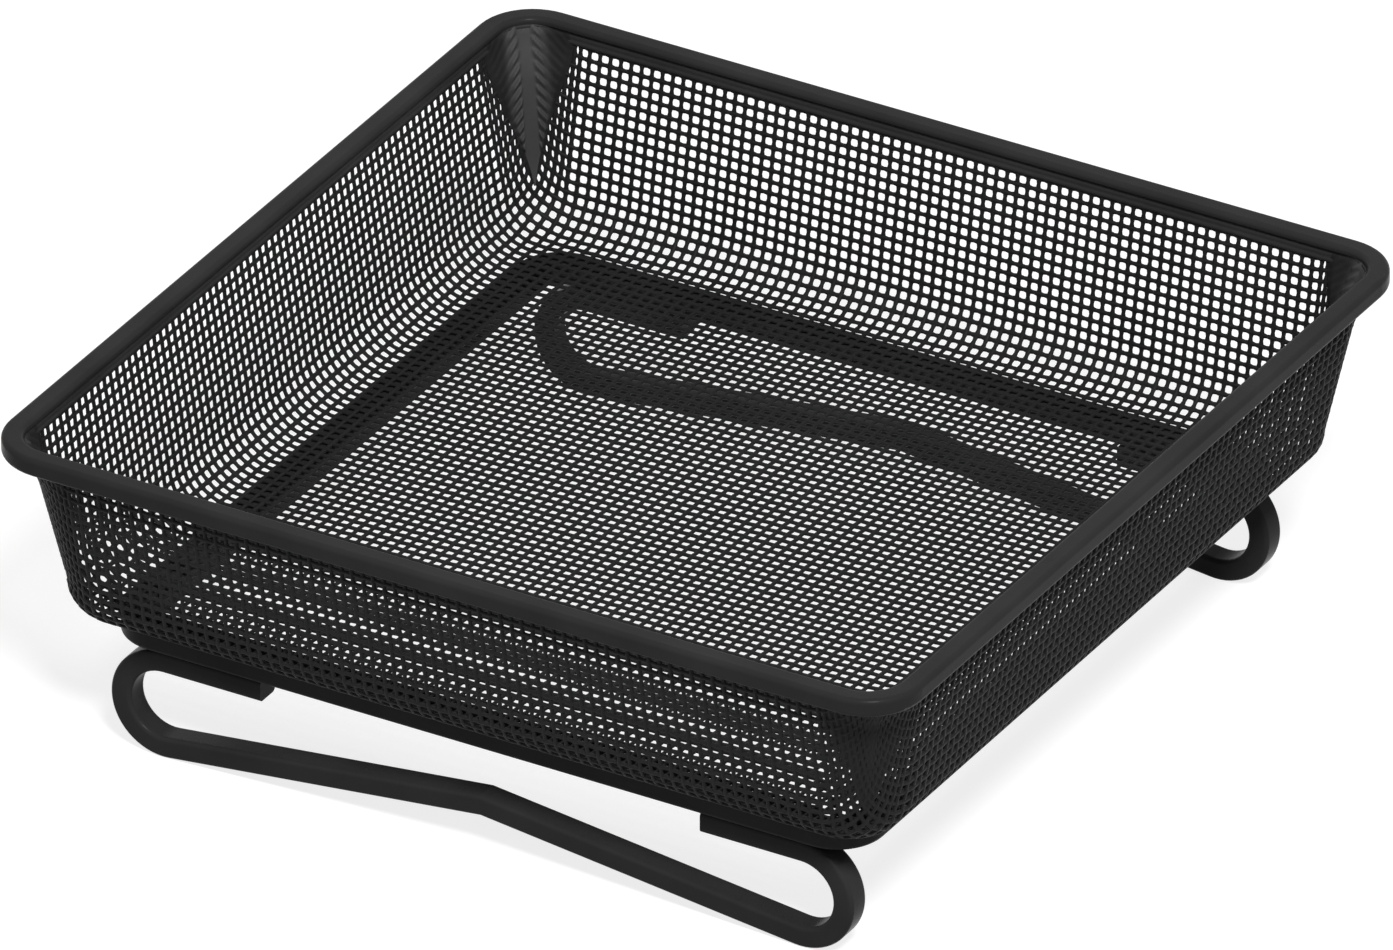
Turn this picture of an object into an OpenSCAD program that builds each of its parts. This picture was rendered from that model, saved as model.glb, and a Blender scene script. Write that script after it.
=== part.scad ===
// Platform bird feeder: a square wire-mesh tray in a steel rim, on a base
// frame and two legs, each bent from one bar with a loop at either end.
// The origin is on the ground below the middle of the tray, the front is at
// negative Y, and everything is in millimetres.

/* [Rim] */
// Width over the rim, left to right
overall_w = 180; // [120:1:260]
// Depth over the rim, front to back
overall_d = 180; // [120:1:260]
// Width of the rim bar, seen from above
rim_bar_w = 4; // [3.4:0.1:8]
// Height of the rim bar
rim_bar_h = 3.5; // [2.6:0.1:8]
// Thickness of the rim's top plate and of its outer skirt
rim_plate_t = 1.2; // [1:0.1:1.6]
// Radius along the rim's edges
rim_edge_r = 0.9; // [0.3:0.1:1]
// Outer radius of the rim's corners, seen from above
rim_corner_r = 10.7; // [9.5:0.1:15]

/* [Mesh tray] */
// Height of the tray, from the underside of its floor to its hem
tray_h = 36; // [26:0.5:60]
// How far the top of the walls is set in from the rim's outer face
wall_inset = 2; // [1.8:0.1:2.6]
// Lean of the walls from upright, in degrees
wall_lean = 9.8; // [4:0.2:14]
// Outer radius of the curve between floor and wall
foot_r = 9; // [6:0.5:12]
// Thickness of the mesh where two of its wires cross
mesh_t = 1.2; // [1:0.05:1.5]
// Thickness of one wire of the mesh
wire_t = 0.8; // [0.76:0.02:0.9]
// Width of one wire of the mesh
wire_w = 1.4; // [0.8:0.1:2.2]
// Height of the closed hem at the top of the walls
hem_h = 3; // [2:0.1:6]
// Height of the lip that turns the hem out to the rim's skirt
lip_h = 0.8; // [0.5:0.1:1.2]
// How far the edge wires and the hem stand proud of the mesh
edge_proud = 0.1; // [0.05:0.01:0.3]
// Cells across the floor, left to right
cells_x = 9; // [4:1:10]
// Cells across the floor, front to back
cells_y = 9; // [4:1:10]
// Rows of cells up the straight of each wall
wall_rows = 3; // [2:1:4]

/* [Base frame] */
// Width of the base frame's bar, seen from above
base_bar_w = 5; // [3:0.1:8]
// Height of the base frame's bar
base_bar_h = 4.3; // [2.5:0.1:10]
// How far the base frame reaches out past the flat of the floor
base_reach = 0.6; // [0:0.1:2]
// Radius along the base frame's edges
base_edge_r = 0.8; // [0.3:0.1:1.2]
// Outer radius of the base frame's corners, seen from above
base_corner_r = 9; // [8.2:0.2:14]

/* [Legs] */
// Width of the leg bar, front to back
leg_bar_w = 5; // [3:0.1:8]
// Thickness of the leg bar, in the plane of its bends
leg_bar_t = 4; // [2.6:0.1:6]
// Radius along the leg bar's edges
leg_edge_r = 0.8; // [0.3:0.1:1.2]
// Outer radius of the loop at each end of a leg
loop_r = 10.4; // [8:0.1:16]
// How far the loops stay inside the base frame's sides
loop_inset = 1.3; // [0:0.1:8]
// How far a leg stays behind the base frame's outer face
leg_setback = 0.6; // [0:0.1:2]
// Length of the straight tab that is welded under the base frame
tab_len = 19.6; // [8:0.2:30]
// Rise of the lower bar towards its middle, in degrees
arch_angle = 6.5; // [2:0.1:9]

/* [Hidden] */
$fn = 40;

COAT = [0.2, 0.2, 0.205];
MESH_COAT = [0.15, 0.15, 0.155];

// Heights above the ground
base_z = 2 * loop_r;
floor_z = base_z + base_bar_h;
foot_z = floor_z + foot_r;
hem_z = floor_z + tray_h;
rim_z = hem_z + rim_plate_t - rim_bar_h;

// The tray's section, with u outwards and z upwards from the centre of the
// foot curve. A length s runs along its outer face from the floor's edge.
arc_len = foot_r * (90 - wall_lean) * PI / 180;
wall_rise = tray_h - foot_r;
wall_len = wall_rise / cos(wall_lean) + foot_r * tan(wall_lean);
wall_out = foot_r / cos(wall_lean) + wall_rise * tan(wall_lean);
hem_s = arc_len + wall_len - hem_h;

// Wires end this far short of the middle of the edge wire that joins them
wire_end = wire_w / 4;

// Half sizes of the flat floor, whose corners are the tray's corner centres
flat_x = overall_w / 2 - wall_inset - wall_out;
flat_y = overall_d / 2 - wall_inset - wall_out;

// Half sizes of the base frame, and the middle of a leg's bar and loop
base_x = flat_x + base_reach;
base_y = flat_y + base_reach;
leg_y = base_y - leg_setback - leg_bar_w / 2;
loop_x = base_x - loop_inset - loop_r;
loop_mid_r = loop_r - leg_bar_t / 2;

function normal_at(s) = max(-90, min(-wall_lean, -90 + s / foot_r * 180 / PI));

function face_point(s, depth = 0) =
    let (a = normal_at(s), up = max(0, s - arc_len), r = foot_r - depth)
    [r * cos(a) - up * sin(a), r * sin(a) + up * cos(a)];

// Where the wall's plane, a depth in from its outer face, meets a height
function wall_point(z, depth = 0) =
    [(foot_r - depth) / cos(wall_lean) + z * tan(wall_lean), z];

// Rectangle with rounded corners, about its centre
module rounded_rect(w, h, r) {
    square([w - 2 * r, h], center = true);
    square([w, h - 2 * r], center = true);
    for (x = [-1, 1], y = [-1, 1])
        translate([x * (w / 2 - r), y * (h / 2 - r)])
            circle(r);
}

// Places children on the four sides of a rectangle with half sizes hx and
// hy, each turned as the front side is, and tells them their half length
module each_side(hx, hy, sides = [0 : 3]) {
    for (side = sides) {
        $run = side % 2 == 0 ? hx : hy;
        out = side % 2 == 0 ? hy : hx;
        rotate([0, 0, 90 * side])
            translate([0, -out, 0])
                children();
    }
}

// Extrudes a section along a side, over a length about the point x
module along_side(length, x = 0)
    translate([x + length / 2, 0, 0])
        rotate([90, 0, -90])
            linear_extrude(length)
                children();

// Turns a section round the corner at the right end of a side
module round_corner()
    translate([$run, 0, 0])
        rotate([0, 0, -90])
            rotate_extrude(angle = 90)
                children();

// Closed frame of one section, about corner centres at hx and hy
module swept_frame(hx, hy)
    each_side(hx, hy) {
        along_side(2 * $run)
            children();
        round_corner()
            children();
    }

// Foot curve between two depths in from the outer face, which ends inside
// the edge wires above and below it
module foot_section(from, to)
    intersection() {
        difference() {
            circle(foot_r - from);
            circle(foot_r - to);
        }
        polygon([[0, 0], 2 * face_point(wire_end), 2 * face_point(arc_len / 2),
                 2 * face_point(arc_len - wire_end)]);
    }

// Straight of the wall, from inside its edge wire to inside the hem
module wall_section(from, to)
    polygon([face_point(arc_len + wire_end, from), face_point(hem_s + wire_end, from),
             face_point(hem_s + wire_end, to), face_point(arc_len + wire_end, to)]);

// Thicker hem at the top, with a lip turned out to the rim's skirt
module hem_section() {
    lip_z = wall_rise - lip_h;
    lip_u = wall_out + wall_inset - rim_plate_t;
    inner = mesh_t + edge_proud;
    polygon([face_point(hem_s, -edge_proud), wall_point(lip_z, -edge_proud),
             [lip_u, lip_z], [lip_u, wall_rise], wall_point(wall_rise, inner),
             face_point(hem_s, inner)]);
}

// Wire that runs along a wall, at length s up the section
module row_section(s, from, to)
    translate(face_point(s))
        rotate(normal_at(s))
            translate([-to, -wire_w / 2])
                square([to - from, wire_w]);

// Wire that runs up a wall, in one piece with the foot curve below it
module upright_section(from, to) {
    foot_section(from, to);
    wall_section(from, to);
}

// Middles of the wires that divide a length of 2 * run into n cells
function wire_places(run, n) =
    [for (i = [0 : n])
        max(-run + wire_w / 2, min(run - wire_w / 2, run * (2 * i / n - 1)))];

// Woven wall: uprights in one layer and rows in the other
module wall_mesh(cells, up_from, row_from) {
    wall_step = (hem_s - arc_len) / wall_rows;
    for (x = wire_places($run, 2 * cells))
        along_side(wire_w, x)
            upright_section(up_from, up_from + wire_t);
    for (s = [arc_len / 2, for (row = [1 : wall_rows - 1]) arc_len + row * wall_step])
        along_side(2 * $run)
            row_section(s, row_from, row_from + wire_t);
}

// Floor wires, which carry on every second upright of the walls
module floor_mesh() {
    end_x = flat_x - wire_end;
    end_y = flat_y - wire_end;
    for (x = wire_places(flat_x, cells_x))
        translate([x - wire_w / 2, -end_y, floor_z])
            cube([wire_w, 2 * end_y, wire_t]);
    for (y = wire_places(flat_y, cells_y))
        translate([-end_x, y - wire_w / 2, floor_z + mesh_t - wire_t])
            cube([2 * end_x, wire_w, wire_t]);
}

// Square edge wire round the floor, where the foot curve starts
module floor_edge()
    translate([0, 0, floor_z])
        linear_extrude(mesh_t + edge_proud)
            difference() {
                square([2 * flat_x + wire_w, 2 * flat_y + wire_w], center = true);
                square([2 * flat_x - wire_w, 2 * flat_y - wire_w], center = true);
            }

// Drawn wire-mesh tray: a flat floor, leaning walls and closed corners
module mesh_tray() {
    inner = mesh_t - wire_t;
    color(MESH_COAT) {
        floor_mesh();
        floor_edge();
        translate([0, 0, foot_z]) {
            each_side(flat_x, flat_y, [0, 2])
                wall_mesh(cells_x, 0, inner);
            each_side(flat_x, flat_y, [1, 3])
                wall_mesh(cells_y, inner, 0);
            swept_frame(flat_x, flat_y)
                row_section(arc_len, -edge_proud, mesh_t + edge_proud);
            swept_frame(flat_x, flat_y)
                hem_section();
            each_side(flat_x, flat_y)
                round_corner()
                    upright_section(edge_proud, mesh_t - edge_proud);
        }
    }
}

// Rim of angle section: a top plate over the hem and a skirt outside it
module rim_frame() {
    color(COAT)
        swept_frame(overall_w / 2 - rim_corner_r, overall_d / 2 - rim_corner_r)
            translate([rim_corner_r - rim_bar_w / 2, rim_z + rim_bar_h / 2])
                difference() {
                    rounded_rect(rim_bar_w, rim_bar_h, rim_edge_r);
                    translate([-rim_plate_t - rim_bar_w / 2,
                               -rim_plate_t - rim_bar_h / 2])
                        square([rim_bar_w, rim_bar_h]);
                }
}

// Ring of solid bar that the mesh floor is welded to
module base_frame() {
    color(COAT)
        swept_frame(base_x - base_corner_r, base_y - base_corner_r)
            translate([base_corner_r - base_bar_w / 2, base_z + base_bar_h / 2])
                rounded_rect(base_bar_w, base_bar_h, base_edge_r);
}

// Leg bar bent round the origin in the leg's plane
module leg_bend(start, sweep)
    rotate([90, 0, 0])
        rotate_extrude(start = start, angle = sweep)
            translate([loop_mid_r, 0])
                rounded_rect(leg_bar_t, leg_bar_w, leg_edge_r);

// Straight leg bar that leaves a bend leftwards, at a height above its centre
module leg_straight(height, length)
    translate([0, 0, height])
        rotate([90, 0, -90])
            linear_extrude(length)
                rounded_rect(leg_bar_w, leg_bar_t, leg_edge_r);

// Tab, loop and lower bar of the right half, cut off at the leg's middle
module half_leg()
    intersection() {
        translate([loop_x, 0, loop_r]) {
            leg_straight(loop_mid_r, tab_len);
            leg_bend(-90 - arch_angle, 180 + arch_angle);
            rotate([0, arch_angle, 0])
                leg_straight(-loop_mid_r, loop_x + loop_r);
        }
        translate([0, -leg_bar_w, -loop_r])
            cube([loop_x + 2 * loop_r, 2 * leg_bar_w, 4 * loop_r]);
    }

// One bar from tab to tab: down round a loop, up to a low peak and back
module leg()
    color(COAT) {
        half_leg();
        mirror([1, 0, 0])
            half_leg();
    }

module front_leg() translate([0, -leg_y, 0]) leg();

module rear_leg() translate([0, leg_y, 0]) leg();

mesh_tray();
rim_frame();
base_frame();
front_leg();
rear_leg();
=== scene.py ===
import math

import bpy
import numpy as np
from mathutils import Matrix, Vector


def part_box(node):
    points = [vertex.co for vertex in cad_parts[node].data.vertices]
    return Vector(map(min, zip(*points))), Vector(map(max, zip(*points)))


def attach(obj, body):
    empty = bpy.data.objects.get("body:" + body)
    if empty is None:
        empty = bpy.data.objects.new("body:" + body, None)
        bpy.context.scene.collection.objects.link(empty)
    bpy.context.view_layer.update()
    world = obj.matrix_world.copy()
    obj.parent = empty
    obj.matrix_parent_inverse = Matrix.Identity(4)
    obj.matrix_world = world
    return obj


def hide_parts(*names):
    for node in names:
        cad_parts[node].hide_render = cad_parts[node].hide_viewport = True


# The looks of a platform bird feeder: a tray of woven steel wire in a steel
# rim, on a base frame and two legs, all under one black powder coat.
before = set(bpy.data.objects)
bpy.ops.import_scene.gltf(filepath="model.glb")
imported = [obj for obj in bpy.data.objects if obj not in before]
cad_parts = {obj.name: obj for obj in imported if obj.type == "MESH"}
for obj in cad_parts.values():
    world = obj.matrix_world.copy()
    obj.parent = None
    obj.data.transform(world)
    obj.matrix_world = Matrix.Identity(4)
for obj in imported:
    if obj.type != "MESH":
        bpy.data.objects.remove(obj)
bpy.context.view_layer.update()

MM = 0.001
BODY = "root"
TINY = 1e-9

# The photograph's frame and its viewing direction. The lens is long because
# the photograph has no perspective to speak of.
VIEW_AZIMUTH = math.radians(30.17)
VIEW_ELEVATION = math.radians(30.15)
VIEW_CENTRE = Vector((-8.34, 13.91, 27.92)) * MM
VIEW_WIDTH = 239.9 * MM
LENS = 1100
SENSOR = 36
CLIP_END = 100

# The tray's section, as in the CAD model
WALL_INSET = 2 * MM
WALL_LEAN = math.radians(9.8)
FOOT_R = 9 * MM
MESH_T = 1.2 * MM
RIM_PLATE_T = 1.2 * MM

# The woven wire, pressed flat and thickened by its coat where wires cross
PITCH = 2.09 * MM
WIRE_W = 0.95 * MM
WIRE_T = 0.66 * MM
WIRE_SWAY = 0.05 * MM
CROSSING_GROWTH = 0.2
WIRE_SIDES = 6
STEPS_PER_PITCH = 2

# Plan radii of the mesh at the tray's corners, and the length of wall over
# which its radius blends into the hem's
FLOOR_CORNER_R = 4 * MM
WALL_CORNER_R = 13.4 * MM
HEM_CORNER_R = 10 * MM
HEM_BLEND = 9 * MM

# How far past the floor's square a wall's wires keep their pitch, and the
# share of it at which they then start to close up towards the corner
FULL_RUN = 3.4 * MM
CROWDED = 0.57

# The closed hem under the rim: a bead, a band with grooves and a lip. A
# groove's points are shares of the hem's height, with their depth.
HEM_H = 2.95 * MM
HEM_T = 1.34 * MM
HEM_TOP_GAP = 0.02 * MM
LIP_H = 0.8 * MM
BEAD_POINTS = 9
GROOVE_DEPTH = 0.12 * MM
LOWER_GROOVE = ((0.32, 0), (0.4, GROOVE_DEPTH), (0.48, 0))
UPPER_GROOVE = ((0.68, 0), (0.76, GROOVE_DEPTH), (0.84, 0))
HEM_ARC_STEPS = 16
HEM_STRAIGHT_STEPS = 24

# The pleats pressed shut in each corner, as a sheet on the inside of the
# wires. Past a share of its half width it thins to its side edges, and near
# the top it loses a share of its depth.
GUSSET_ROWS = 150
GUSSET_COLUMNS = 48
GUSSET_BOTTOM_GAP = 0.6 * MM
GUSSET_TOP_GAP = 0.05 * MM
GUSSET_SPREAD = 1.25
GUSSET_OUT = 0.1 * MM
GUSSET_IN = 0.72 * MM
GUSSET_EDGE_IN = 0.25 * MM
GUSSET_EDGE_FROM = 0.8
GUSSET_TOP_ZONE = 2 * LIP_H
GUSSET_TOP_LOSS = 0.4

# The pleats' ridges, on both sides of a smooth band. They rise between two
# shares of the band's half width, and past a share of their length they lose
# most of their height.
BAND_HALF = 1.4 * MM
RISE_FROM = 0.85
RISE_TO = 1.25
RIDGE_H = 0.75 * MM
RIDGE_SKEW = 0.55
RIDGE_LENGTH = 2.4 * MM
FADE_FROM = 0.6
FADE_LOSS = 0.85

# The powder coat's fine peel, and the patches in which its sheen and tone vary
PEEL_DETAIL = 3
PEEL_DEPTH = 0.1 * MM
PATCH_SCALE = 60
PATCH_DETAIL = 4
SHEEN_RANGE = 0.06
TONE_RANGE = 0.15
TONE_STOPS = (0.3, 0.7)

# The surroundings: how bright the world is for the object and the floor is to
# the eye, and one soft lamp
WHITE = (1, 1, 1, 1)
WORLD_STRENGTH = 0.25
FLOOR_HALF = 6
FLOOR_COLOUR = (0.35, 0.35, 0.35, 1)
FLOOR_ROUGHNESS = 0.9
FLOOR_GLOW = 0.8
LAMP_PLACE = Vector((1.2, -1.32, 2.2))
LAMP_AIM = Vector((0, 0, 0.04))
LAMP_SIZE = 0.6
LAMP_POWER = 75

# The section through the middle of the mesh. A length s runs along it, from
# the edge of the flat floor upwards.
tray_low, tray_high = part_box("mesh_tray")
rim_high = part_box("rim_frame")[1]
top_half = rim_high.x - WALL_INSET
foot_middle_r = FOOT_R - MESH_T / 2
foot_z = tray_low.z + FOOT_R
foot_angle = math.pi / 2 - WALL_LEAN
foot_len = foot_middle_r * foot_angle
wall_rise = tray_high.z - foot_z
flat_half = top_half - FOOT_R / math.cos(WALL_LEAN) - wall_rise * math.tan(WALL_LEAN)
square_half = flat_half - FLOOR_CORNER_R
wall_len = (wall_rise + foot_middle_r * math.sin(WALL_LEAN)) / math.cos(WALL_LEAN)
cloth_top = foot_len + wall_len
wire_top = cloth_top - HEM_H / 2


def profile(s):
    """Outward place, height and turn of the mesh at a length s past the flat floor."""
    turn = np.clip(s / foot_middle_r, 0, foot_angle)
    rise = np.maximum(0, s - foot_len)
    out = flat_half + foot_middle_r * np.sin(turn) + rise * math.sin(WALL_LEAN)
    height = foot_z - foot_middle_r * np.cos(turn) + rise * math.cos(WALL_LEAN)
    return out, height, turn


def smooth_step(low, high, value):
    """Rises smoothly from 0 at the low value to 1 at the high one."""
    share = np.clip((value - low) / (high - low), 0, 1)
    return share * share * (3 - 2 * share)


def corner_radius(s):
    """Plan radius of the tray's corner: it grows over the foot's curve, and the
    rim draws it in again at the top."""
    share = np.clip(s / foot_len, 0, 1)
    drawn = smooth_step(cloth_top - HEM_BLEND, cloth_top, s)
    wall = WALL_CORNER_R + (HEM_CORNER_R - WALL_CORNER_R) * drawn
    return FLOOR_CORNER_R + (wall - FLOOR_CORNER_R) * share


def half_run(s):
    """Length along a wall from its middle to the middle of its corner."""
    return profile(s)[0] - corner_radius(s) * (1 - math.pi / 4)


def on_wall(s, along):
    """Place and outer normal, as outward, sideways and up, on half of one wall."""
    out, height, turn = profile(s)
    radius = corner_radius(s)
    straight = out - radius
    bend = np.clip((along - straight) / radius, 0, math.pi / 4)
    sideways = np.where(along > straight, straight + radius * np.sin(bend), along)
    place = np.stack([straight + radius * np.cos(bend), sideways, height], axis=-1)
    normal = np.stack(
        [np.cos(bend) * np.sin(turn), np.sin(bend) * np.sin(turn), -np.cos(turn)],
        axis=-1,
    )
    return place, normal


def swap_sides(vectors, chosen):
    """Exchanges X and Y in the chosen rows."""
    vectors[chosen, :2] = vectors[chosen, 1::-1]


def cloth_to_tray(flat_x, flat_y):
    """Points and outer normals of the tray for places on the flat mesh."""
    past_x = np.maximum(0, np.abs(flat_x) - square_half)
    past_y = np.maximum(0, np.abs(flat_y) - square_half)
    reach = np.hypot(past_x, past_y)
    s = np.maximum(0, reach - FLOOR_CORNER_R)
    on_x = past_x >= past_y
    sideways = np.where(on_x, np.abs(flat_y), np.abs(flat_x))
    nearer, farther = np.minimum(past_x, past_y), np.maximum(past_x, past_y)
    share = np.arctan2(nearer, farther) * 4 / math.pi
    full = FULL_RUN * np.clip(s / foot_len, 0, 1)
    cloth = (s + FLOOR_CORNER_R) * math.pi / 4
    room = half_run(s) - square_half - full
    power = np.maximum(1, CROWDED * (cloth - full) / room)
    crowd = np.clip((share * cloth - full) / (cloth - full), 0, 1)
    along = np.minimum(sideways, square_half) + np.minimum(share * cloth, full)
    along += room * (1 - (1 - crowd) ** power)
    place, normal = on_wall(s, along)
    swap_sides(place, ~on_x)
    swap_sides(normal, ~on_x)
    on_floor = reach <= FLOOR_CORNER_R
    place[on_floor, 0] = np.abs(flat_x)[on_floor]
    place[on_floor, 1] = np.abs(flat_y)[on_floor]
    signs = np.stack([np.sign(flat_x), np.sign(flat_y), np.ones_like(s)], axis=-1)
    return place * signs, normal * signs


def wire_path(index, lengthwise):
    """Centreline, normals and widths of one wire, which passes over and under
    those that it crosses."""
    fixed = (index + 0.5) * PITCH
    past = max(0, abs(fixed) - square_half)
    limit = square_half + math.sqrt((wire_top + FLOOR_CORNER_R) ** 2 - past**2)
    last = int(limit / PITCH * STEPS_PER_PITCH)
    free = np.arange(-last, last + 1) * PITCH / STEPS_PER_PITCH
    free = np.concatenate([[-limit], free, [limit]])
    held = np.full_like(free, fixed)
    if lengthwise:
        points, normals = cloth_to_tray(held, free)
    else:
        points, normals = cloth_to_tray(free, held)
    crossing = free / PITCH - 0.5
    sway = np.cos(math.pi * (crossing + index)) * (WIRE_SWAY if lengthwise else -WIRE_SWAY)
    width = WIRE_W * (1 + CROSSING_GROWTH * np.cos(2 * math.pi * crossing))
    return points + normals * sway[:, None], normals, width


def tube(points, normals, width):
    """Vertices and faces of one flattened wire, closed at its ends."""
    tangent = np.gradient(points, axis=0)
    tangent /= np.linalg.norm(tangent, axis=1, keepdims=True)
    side = np.cross(tangent, normals)
    side /= np.linalg.norm(side, axis=1, keepdims=True)
    up = np.cross(side, tangent)
    angles = (np.arange(WIRE_SIDES) + 0.5) * 2 * math.pi / WIRE_SIDES
    across = side[:, None, :] * np.sin(angles)[None, :, None] * width[:, None, None] / 2
    through = up[:, None, :] * np.cos(angles)[None, :, None] * WIRE_T / 2
    vertices = (points[:, None, :] + across + through).reshape(-1, 3)
    ring = np.arange(WIRE_SIDES)
    start = np.arange(len(points) - 1)[:, None] * WIRE_SIDES
    near = (start + ring).ravel()
    beside = (start + (ring + 1) % WIRE_SIDES).ravel()
    quads = np.stack([near, beside, beside + WIRE_SIDES, near + WIRE_SIDES], axis=1)
    end = len(vertices) - WIRE_SIDES
    return vertices, quads.tolist() + [ring[::-1].tolist(), (ring + end).tolist()]


def mesh_object(name, vertices, faces, material, smooth=True):
    data = bpy.data.meshes.new(name)
    data.from_pydata(vertices, [], faces)
    data.polygons.foreach_set("use_smooth", [smooth] * len(data.polygons))
    data.materials.append(material)
    data.update()
    piece = bpy.data.objects.new(name, data)
    bpy.context.scene.collection.objects.link(piece)
    return piece


def add_to_tray(name, vertices, faces, material):
    piece = mesh_object(name, vertices, faces, material)
    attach(piece, BODY)
    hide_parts("mesh_tray")
    return piece


def woven_wires(name, lengthwise, positive, material):
    """The wires that run one way, on the positive or the negative side."""
    last = int((flat_half + wire_top) / PITCH - 0.5)
    indices = range(last + 1) if positive else range(-1, -last - 2, -1)
    vertices, faces, start = [], [], 0
    for index in indices:
        wire, wire_faces = tube(*wire_path(index, lengthwise))
        vertices.append(wire)
        faces.extend([start + vertex for vertex in face] for face in wire_faces)
        start += len(wire)
    add_to_tray(name, np.concatenate(vertices), faces, material)


def gusset_half(s):
    """Half width of the closed pleats in a corner, at a length s up the section."""
    share = np.clip((s - foot_len) / wall_len, 0, 1)
    return (half_run(np.array(cloth_top)) - flat_half) * share**GUSSET_SPREAD


def gusset_ridges(s, off):
    """Height of the pleats' ridges, which run down and away from a smooth band."""
    half = np.maximum(gusset_half(s), TINY)
    turn = 2 * math.pi * (s + off) / PITCH
    wave = 0.5 + 0.5 * np.cos(turn - RIDGE_SKEW * np.cos(turn))
    near = smooth_step(BAND_HALF * RISE_FROM, BAND_HALF * RISE_TO, off)
    ridge_end = BAND_HALF + RIDGE_LENGTH
    far = 1 - FADE_LOSS * smooth_step(BAND_HALF + RIDGE_LENGTH * FADE_FROM, ridge_end, off)
    edge = 1 - smooth_step(GUSSET_EDGE_FROM, 1, off / half)
    return RIDGE_H * wave * near * far * edge


def gusset_faces():
    """Faces of a closed sheet: the outer side, the inner side and the strip
    along their border. The inner side's points follow the outer side's."""
    across = GUSSET_COLUMNS + 1
    count = GUSSET_ROWS * across
    corner = np.arange(GUSSET_ROWS - 1)[:, None] * across + np.arange(GUSSET_COLUMNS)
    corner = corner.ravel()
    quads = np.stack([corner, corner + 1, corner + across + 1, corner + across], axis=1)
    faces = np.concatenate([quads, quads[:, ::-1] + count]).tolist()
    border = list(range(across))
    border += [across * row + GUSSET_COLUMNS for row in range(1, GUSSET_ROWS)]
    border += [count - 2 - column for column in range(GUSSET_COLUMNS)]
    border += [across * row for row in range(GUSSET_ROWS - 2, 0, -1)]
    for here, beside in zip(border, border[1:] + border[:1]):
        faces.append([beside, here, here + count, beside + count])
    return faces


def gusset(name, sign_x, sign_y, outer_material, inner_material):
    """The pleats of one corner, pressed into a closed sheet that tapers to a point."""
    s, side = np.meshgrid(
        np.linspace(foot_len + GUSSET_BOTTOM_GAP, cloth_top - GUSSET_TOP_GAP, GUSSET_ROWS),
        np.linspace(-1, 1, GUSSET_COLUMNS + 1),
        indexing="ij",
    )
    s, side = s.ravel(), side.ravel()
    off = np.abs(side) * gusset_half(s)
    place, normal = on_wall(s, half_run(s) - off)
    swap_sides(place, side < 0)
    swap_sides(normal, side < 0)
    thinned = smooth_step(GUSSET_EDGE_FROM, 1, np.abs(side))
    depth = GUSSET_IN + (GUSSET_EDGE_IN - GUSSET_IN) * thinned
    depth += gusset_ridges(s, off)
    depth *= 1 - GUSSET_TOP_LOSS * smooth_step(cloth_top - GUSSET_TOP_ZONE, cloth_top, s)
    signs = np.array([sign_x, sign_y, 1])
    outer = (place + normal * GUSSET_OUT) * signs
    inner = (place - normal * depth[:, None]) * signs
    faces = gusset_faces()
    if sign_x * sign_y > 0:
        faces = [face[::-1] for face in faces]
    piece = add_to_tray(name, np.concatenate([outer, inner]), faces, outer_material)
    piece.data.materials.append(inner_material)
    side_faces = (GUSSET_ROWS - 1) * GUSSET_COLUMNS
    slots = np.zeros(len(faces), dtype=int)
    slots[side_faces : 2 * side_faces] = 1
    piece.data.polygons.foreach_set("material_index", slots)


def hem_section():
    """Outline of the hem as outward place and height: a bead, a band and a lip.
    The band has both grooves inside and the lower one outside."""
    low, top = tray_high.z - HEM_H, tray_high.z - HEM_TOP_GAP
    middle = top_half - MESH_T / 2 / math.cos(WALL_LEAN)
    half = HEM_T / 2
    skirt = rim_high.x - RIM_PLATE_T

    def at(height, depth):
        return (middle + depth - (tray_high.z - height) * math.tan(WALL_LEAN), height)

    bead = [
        at(low + half * (1 - math.cos(angle)), half * math.sin(angle))
        for angle in np.linspace(-math.pi / 2, math.pi / 2, BEAD_POINTS)
    ]
    outside = [at(low + HEM_H * share, half - dent) for share, dent in LOWER_GROOVE]
    lip = [at(top - LIP_H, half), (skirt, top - LIP_H), (skirt, top), at(top, -half)]
    grooves = LOWER_GROOVE + UPPER_GROOVE
    inside = [at(low + HEM_H * share, dent - half) for share, dent in reversed(grooves)]
    return bead + outside + lip + inside


def hem(material):
    """The closed hem, swept round under the rim with the tray's corner radius."""
    section = hem_section()
    stations = [(side, 0) for side in np.linspace(-1, 1, HEM_STRAIGHT_STEPS + 1)[:-1]]
    stations += [(1, step * math.pi / 2 / HEM_ARC_STEPS) for step in range(HEM_ARC_STEPS)]
    vertices = []
    for quarter in range(4):
        turn = quarter * math.pi / 2
        cosine, sine = round(math.cos(turn)), round(math.sin(turn))
        for side, angle in stations:
            for out, height in section:
                s = cloth_top - (tray_high.z - height) / math.cos(WALL_LEAN)
                centre = profile(s)[0] - corner_radius(s)
                x = centre + (out - centre) * math.cos(angle)
                y = side * centre + (out - centre) * math.sin(angle)
                vertices.append((x * cosine - y * sine, x * sine + y * cosine, height))
    points = len(section)
    rings = len(vertices) // points
    faces = []
    for ring in range(rings):
        here = ring * points
        there = (ring + 1) % rings * points
        for point in range(points):
            beside = (point + 1) % points
            faces.append([here + point, here + beside, there + beside, there + point])
    add_to_tray("mesh_hem", vertices, faces, material)


def noise(material, scale, detail):
    """Output of a noise pattern fixed to the object."""
    nodes, links = material.node_tree.nodes, material.node_tree.links
    place = nodes.new("ShaderNodeTexCoord")
    pattern = nodes.new("ShaderNodeTexNoise")
    pattern.inputs["Scale"].default_value = scale
    pattern.inputs["Detail"].default_value = detail
    links.new(place.outputs["Object"], pattern.inputs["Vector"])
    return pattern.outputs["Fac"]


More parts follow.
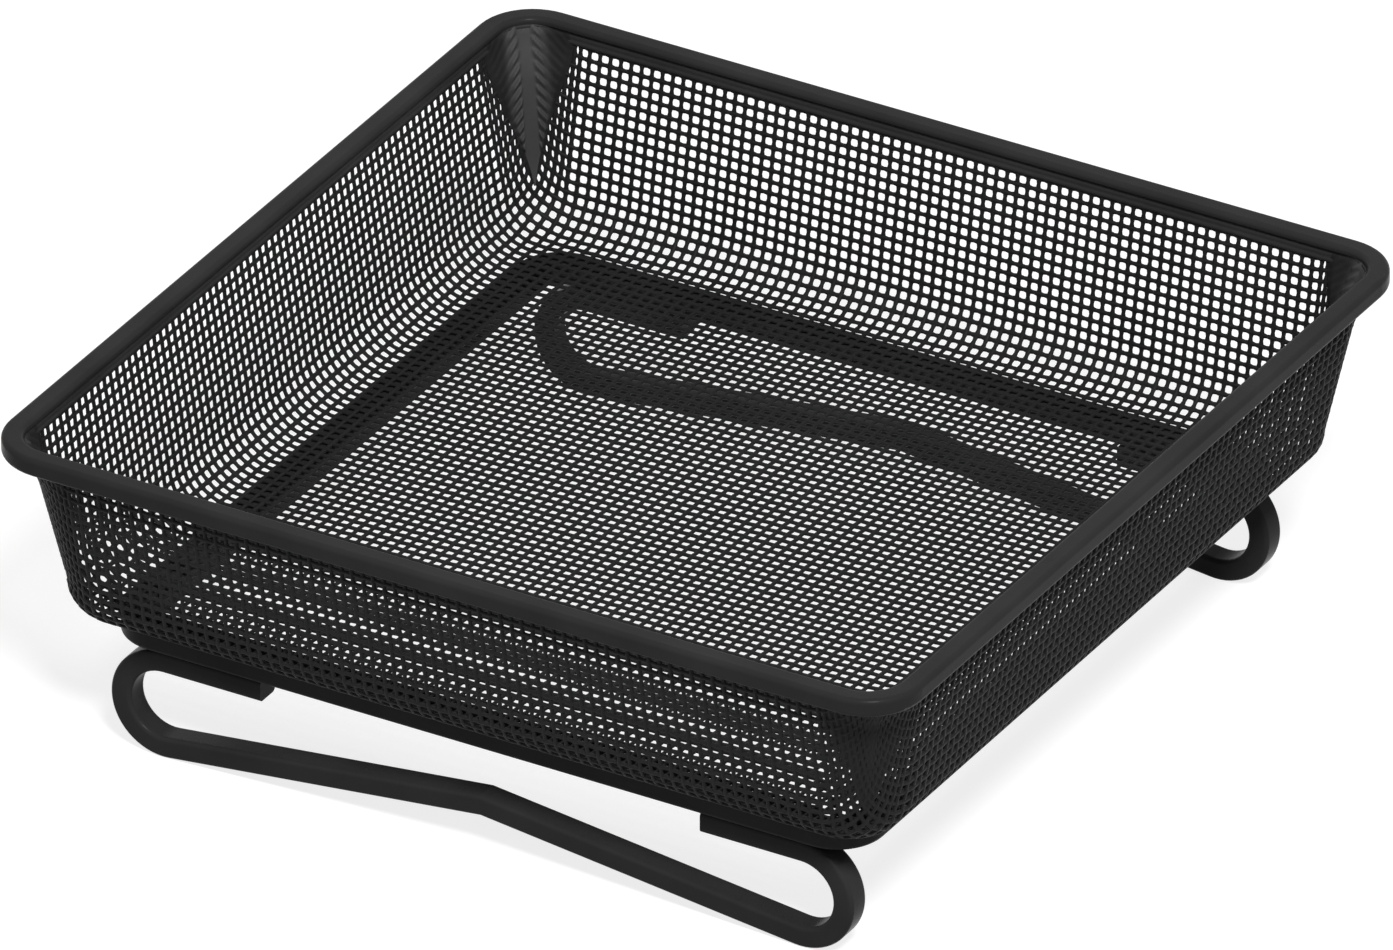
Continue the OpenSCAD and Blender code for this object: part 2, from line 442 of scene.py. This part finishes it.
def powder_coat(name, colour, roughness, specular, grain, bump):
    """Black powder coat with a fine orange peel and a slightly uneven sheen."""
    material = bpy.data.materials.new(name)
    material.use_nodes = True
    nodes, links = material.node_tree.nodes, material.node_tree.links
    shader = nodes["Principled BSDF"]
    shader.inputs["Specular IOR Level"].default_value = specular

    height = nodes.new("ShaderNodeBump")
    height.inputs["Strength"].default_value = bump
    height.inputs["Distance"].default_value = PEEL_DEPTH
    links.new(noise(material, grain, PEEL_DETAIL), height.inputs["Height"])
    links.new(height.outputs["Normal"], shader.inputs["Normal"])

    patches = noise(material, PATCH_SCALE, PATCH_DETAIL)
    sheen = nodes.new("ShaderNodeMapRange")
    sheen.inputs["To Min"].default_value = roughness - SHEEN_RANGE
    sheen.inputs["To Max"].default_value = roughness + SHEEN_RANGE
    links.new(patches, sheen.inputs["Value"])
    links.new(sheen.outputs["Result"], shader.inputs["Roughness"])

    tone = nodes.new("ShaderNodeValToRGB")
    levels = (1 - TONE_RANGE, 1 + TONE_RANGE)
    for element, stop, level in zip(tone.color_ramp.elements, TONE_STOPS, levels):
        element.position = stop
        element.color = [level * channel for channel in colour] + [1]
    links.new(patches, tone.inputs["Fac"])
    links.new(tone.outputs["Color"], shader.inputs["Base Color"])
    return material


def math_node(nodes, links, operation, *sockets):
    """Output of a math node that is fed by the given sockets."""
    node = nodes.new("ShaderNodeMath")
    node.operation = operation
    for socket, entry in zip(sockets, node.inputs):
        links.new(socket, entry)
    return node.outputs[0]


def paint_shade_away_from_diagonals(material, near, far, dark):
    """Paints shade into a coat: darker with the distance from the tray's diagonals, as on
    the shaded pleat flanks beside a lit band.
    """
    nodes, links = material.node_tree.nodes, material.node_tree.links
    place = nodes.new("ShaderNodeTexCoord")
    axes = nodes.new("ShaderNodeSeparateXYZ")
    links.new(place.outputs["Object"], axes.inputs[0])
    across = math_node(nodes, links, "ABSOLUTE", axes.outputs["X"])
    along = math_node(nodes, links, "ABSOLUTE", axes.outputs["Y"])
    apart = math_node(nodes, links, "SUBTRACT", across, along)
    distance = math_node(nodes, links, "ABSOLUTE", apart)
    share = nodes.new("ShaderNodeMapRange")
    share.interpolation_type = "SMOOTHSTEP"
    share.inputs["From Min"].default_value = near
    share.inputs["From Max"].default_value = far
    share.inputs["To Min"].default_value = 1
    share.inputs["To Max"].default_value = dark
    links.new(distance, share.inputs["Value"])
    scaled = nodes.new("ShaderNodeVectorMath")
    scaled.operation = "SCALE"
    base = nodes["Principled BSDF"].inputs["Base Color"]
    links.new(base.links[0].from_socket, scaled.inputs[0])
    links.new(share.outputs["Result"], scaled.inputs["Scale"])
    links.new(scaled.outputs[0], base)


def dress_cad_node(name, material):
    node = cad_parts[name]
    node.data.materials.clear()
    node.data.materials.append(material)


def seen_rays(nodes, links):
    """One for camera, glossy and transmission rays, and nothing for the rest."""
    rays = nodes.new("ShaderNodeLightPath").outputs
    seen = math_node(nodes, links, "MAXIMUM", rays["Is Camera Ray"], rays["Is Glossy Ray"])
    return math_node(nodes, links, "MAXIMUM", seen, rays["Is Transmission Ray"])


def make_world():
    """White where it is seen, and a plain soft light on everything else."""
    world = bpy.data.worlds.new("studio")
    bpy.context.scene.world = world
    world.use_nodes = True
    nodes, links = world.node_tree.nodes, world.node_tree.links
    background = nodes["Background"]
    background.inputs["Color"].default_value = WHITE
    strength = nodes.new("ShaderNodeMapRange")
    strength.inputs["To Min"].default_value = WORLD_STRENGTH
    strength.inputs["To Max"].default_value = 1
    links.new(seen_rays(nodes, links), strength.inputs["Value"])
    links.new(strength.outputs["Result"], background.inputs["Strength"])


def make_floor():
    """A pale floor that shows nearly white and keeps a soft shadow."""
    material = bpy.data.materials.new("floor")
    material.use_nodes = True
    nodes, links = material.node_tree.nodes, material.node_tree.links
    shader = nodes["Principled BSDF"]
    shader.inputs["Base Color"].default_value = FLOOR_COLOUR
    shader.inputs["Roughness"].default_value = FLOOR_ROUGHNESS
    shader.inputs["Specular IOR Level"].default_value = 0
    shader.inputs["Emission Color"].default_value = WHITE
    glow = nodes.new("ShaderNodeMapRange")
    glow.inputs["To Max"].default_value = FLOOR_GLOW
    links.new(seen_rays(nodes, links), glow.inputs["Value"])
    links.new(glow.outputs["Result"], shader.inputs["Emission Strength"])
    signs = ((-1, -1), (1, -1), (1, 1), (-1, 1))
    corners = [(x * FLOOR_HALF, y * FLOOR_HALF, 0) for x, y in signs]
    floor = mesh_object("floor", corners, [[0, 1, 2, 3]], material, smooth=False)


def make_lamp():
    data = bpy.data.lights.new("key", "AREA")
    data.shape = "DISK"
    data.size = LAMP_SIZE
    data.energy = LAMP_POWER
    lamp = bpy.data.objects.new("key", data)
    lamp.location = LAMP_PLACE
    lamp.rotation_mode = "QUATERNION"
    lamp.rotation_quaternion = (LAMP_AIM - LAMP_PLACE).to_track_quat("-Z", "Y")
    bpy.context.scene.collection.objects.link(lamp)


def make_camera():
    back = Vector(
        (
            math.sin(VIEW_AZIMUTH) * math.cos(VIEW_ELEVATION),
            -math.cos(VIEW_AZIMUTH) * math.cos(VIEW_ELEVATION),
            math.sin(VIEW_ELEVATION),
        )
    )
    data = bpy.data.cameras.new("camera")
    data.lens = LENS
    data.sensor_width = SENSOR
    data.clip_end = CLIP_END
    camera = bpy.data.objects.new("camera", data)
    camera.location = VIEW_CENTRE + back * (VIEW_WIDTH * LENS / SENSOR)
    camera.rotation_mode = "QUATERNION"
    camera.rotation_quaternion = (-back).to_track_quat("-Z", "Y")
    bpy.context.scene.collection.objects.link(camera)
    bpy.context.scene.camera = camera


bar_coat = powder_coat(
    "bar_coat",
    colour=(0.0265, 0.0265, 0.0272),
    roughness=0.28,
    specular=0.032,
    grain=1800,
    bump=0.25,
)
wire_coat = powder_coat(
    "wire_coat",
    colour=(0.016, 0.016, 0.0165),
    roughness=0.5,
    specular=0.06,
    grain=2600,
    bump=0.15,
)
# Lighter than the wire and bar coats: painted light on the hem, which lies in the rim's
# shade
hem_coat_painted_light = powder_coat(
    "hem_coat_painted_light",
    colour=(0.03, 0.03, 0.031),
    roughness=0.5,
    specular=0.08,
    grain=700,
    bump=0.9,
)
# Twice as light as the bar coat: painted light on the smooth band down each corner's
# pleats
pleat_coat_painted_light_and_shade = powder_coat(
    "pleat_coat_painted_light_and_shade",
    colour=(0.053, 0.053, 0.0544),
    roughness=0.5,
    specular=0.08,
    grain=900,
    bump=0.5,
)
# Painted shade: the pleats' flanks darken away from the lit band along each diagonal
paint_shade_away_from_diagonals(pleat_coat_painted_light_and_shade, near=3 * MM, far=6.5 * MM, dark=0.33)

for node_name in ("rim_frame", "base_frame", "front_leg", "rear_leg"):
    dress_cad_node(node_name, bar_coat)

woven_wires("mesh_warp_right", lengthwise=True, positive=True, material=wire_coat)
woven_wires("mesh_warp_left", lengthwise=True, positive=False, material=wire_coat)
woven_wires("mesh_weft_rear", lengthwise=False, positive=True, material=wire_coat)
woven_wires("mesh_weft_front", lengthwise=False, positive=False, material=wire_coat)
gusset("gusset_rear_right", 1, 1, wire_coat, pleat_coat_painted_light_and_shade)
gusset("gusset_rear_left", -1, 1, wire_coat, pleat_coat_painted_light_and_shade)
gusset("gusset_front_left", -1, -1, wire_coat, pleat_coat_painted_light_and_shade)
gusset("gusset_front_right", 1, -1, wire_coat, pleat_coat_painted_light_and_shade)
hem(hem_coat_painted_light)

make_world()
make_floor()
make_lamp()
make_camera()
bpy.context.scene.view_settings.view_transform = "Standard"
